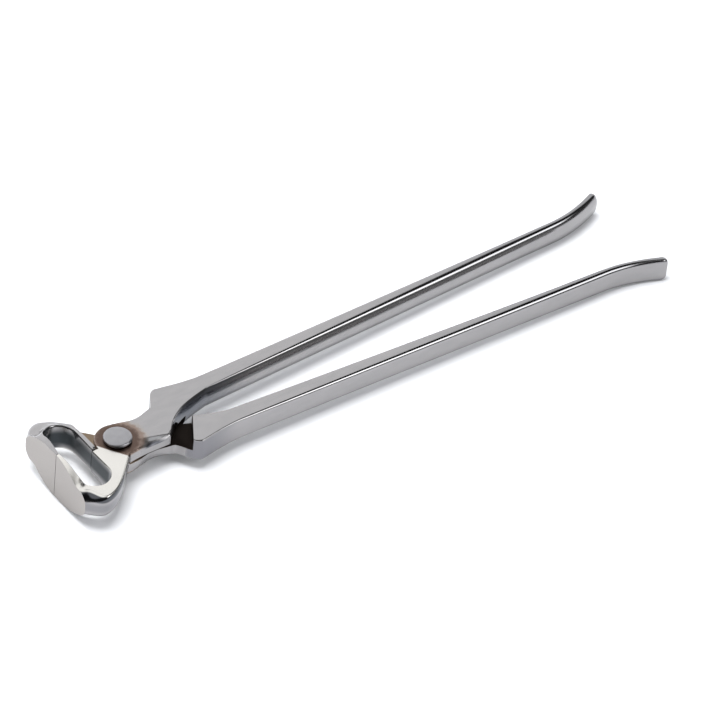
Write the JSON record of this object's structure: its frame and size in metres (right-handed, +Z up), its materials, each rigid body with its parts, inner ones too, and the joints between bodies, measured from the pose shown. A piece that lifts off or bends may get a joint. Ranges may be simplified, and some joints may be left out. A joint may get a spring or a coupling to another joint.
{
  "type": "hoof nipper",
  "caption": "Forged steel hoof nipper: crossed levers on a hot-set rivet, a blunt looped head with meeting cutting edges, and long flared reins that open the jaws.",
  "frame": {"origin": "middle of the flat upper face of the rivet, on the pivot axis", "axes": "+X along the tool from the pivot to the rein ends, +Y across the tool, +Z up along the pivot axis"},
  "size_m": [0.3567, 0.0646, 0.0274],
  "materials": {
    "forged_steel": "polished forging with ground flats and a brown heat tint round the rivet",
    "rivet_steel": "satin ground rivet head"
  },
  "bodies": {
    "lower_half": {"lower_lever": "forged_steel", "pivot_rivet": "rivet_steel"},
    "upper_half": {"upper_lever": "forged_steel"}
  },
  "joints": [
    {"name": "jaw_hinge", "type": "hinge", "parent": "lower_half", "child": "upper_half", "pos_m": [0, 0, -0.0091], "axis": [0, 0, 1], "range_deg": [0, 60]}
  ]
}
